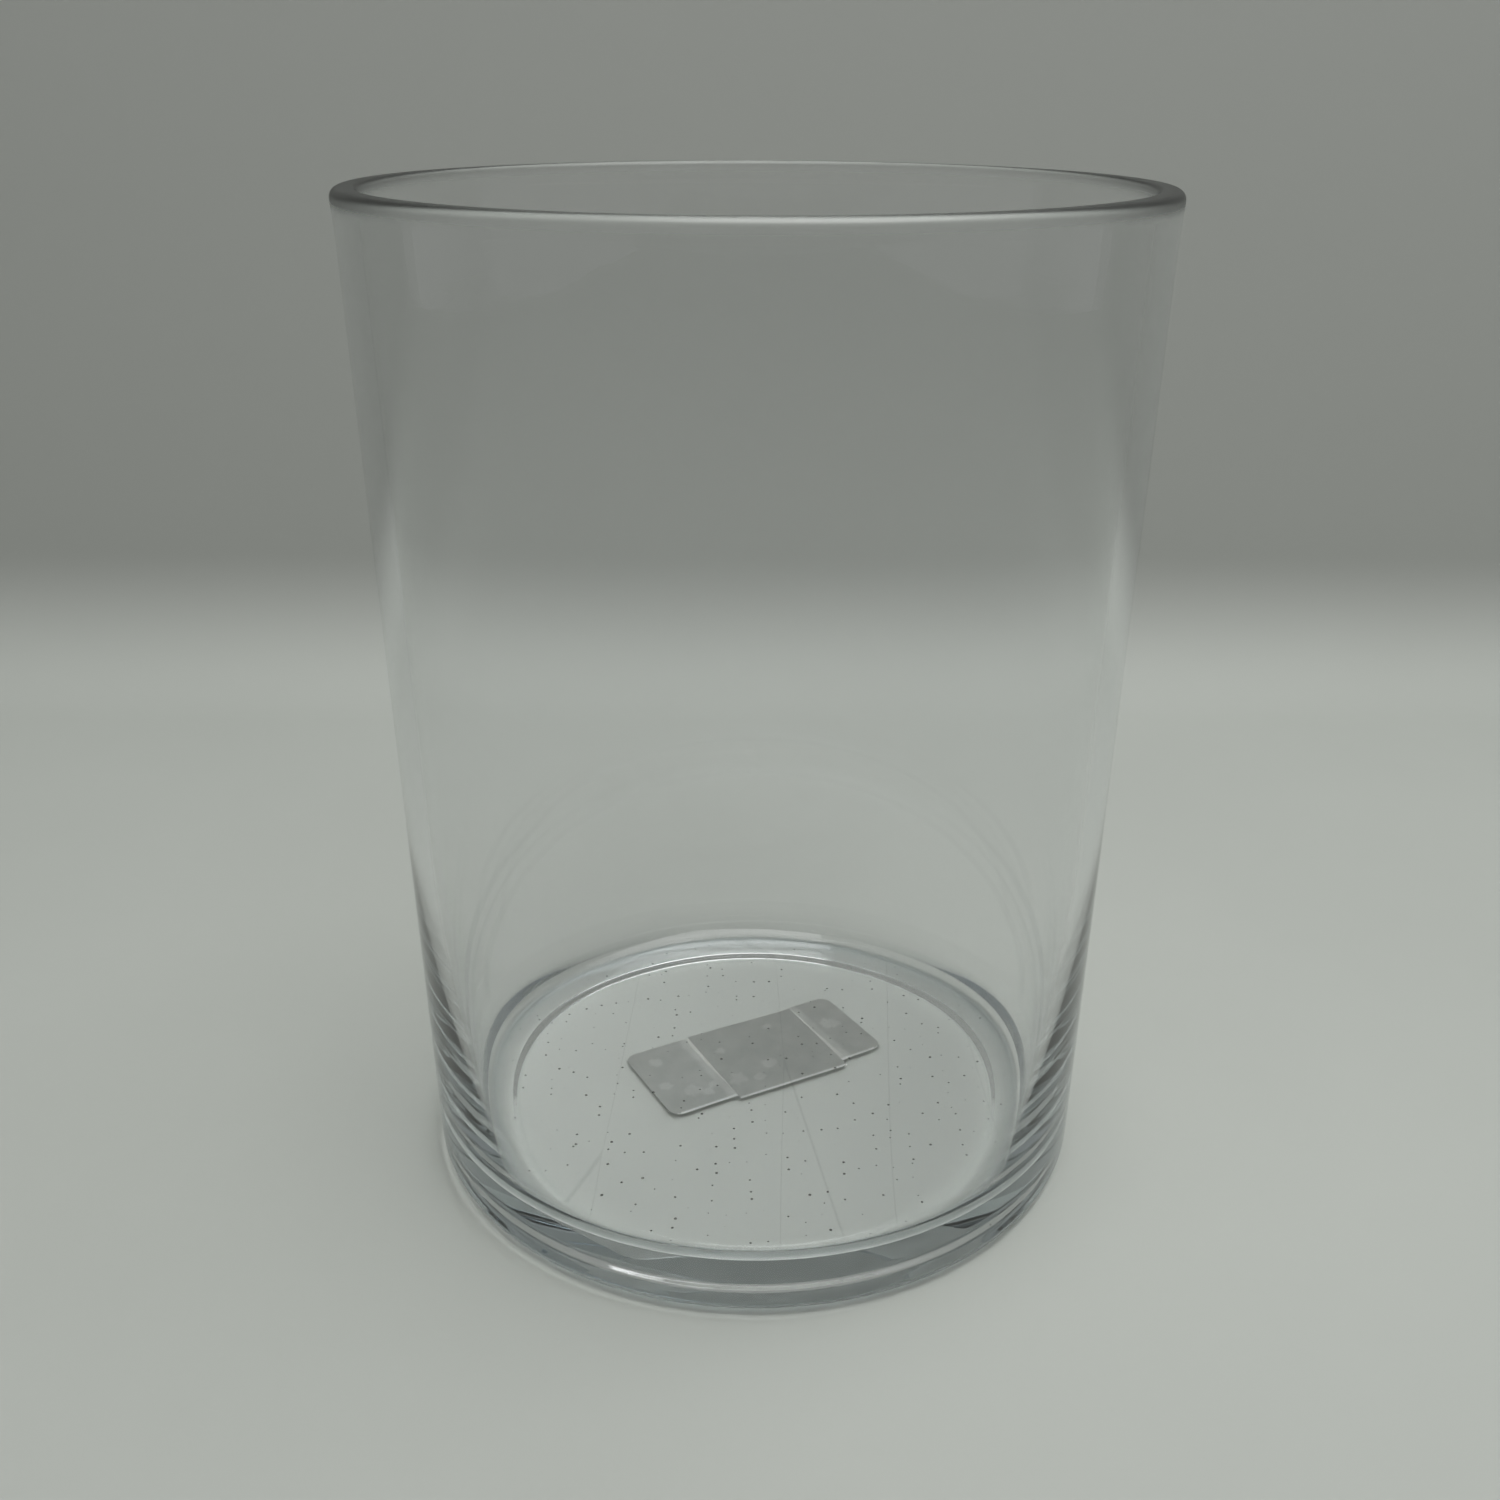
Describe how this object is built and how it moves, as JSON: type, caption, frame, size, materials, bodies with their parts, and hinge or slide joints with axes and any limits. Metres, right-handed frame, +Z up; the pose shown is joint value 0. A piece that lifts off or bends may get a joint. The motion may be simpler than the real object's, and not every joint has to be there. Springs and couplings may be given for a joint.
{
  "type": "glass cylinder vase",
  "caption": "Straight clear glass cylinder vase with a thick base, a round lip and two paper labels under the base.",
  "frame": {"origin": "centre of the foot, on the surface the vase stands on", "axes": "+Z up the vase's axis, from the foot to the lip"},
  "size_m": [0.1506, 0.1506, 0.203],
  "materials": {
    "clear_glass": "clear soda-lime glass, fire-polished",
    "square_label_paper": "matte uncoated paper, adhesive side against the glass",
    "long_label_paper": "matte uncoated paper, adhesive side against the glass"
  },
  "bodies": {
    "root": {"glass_vase": "clear_glass", "square_label": "square_label_paper", "long_label": "long_label_paper"}
  },
  "joints": []
}
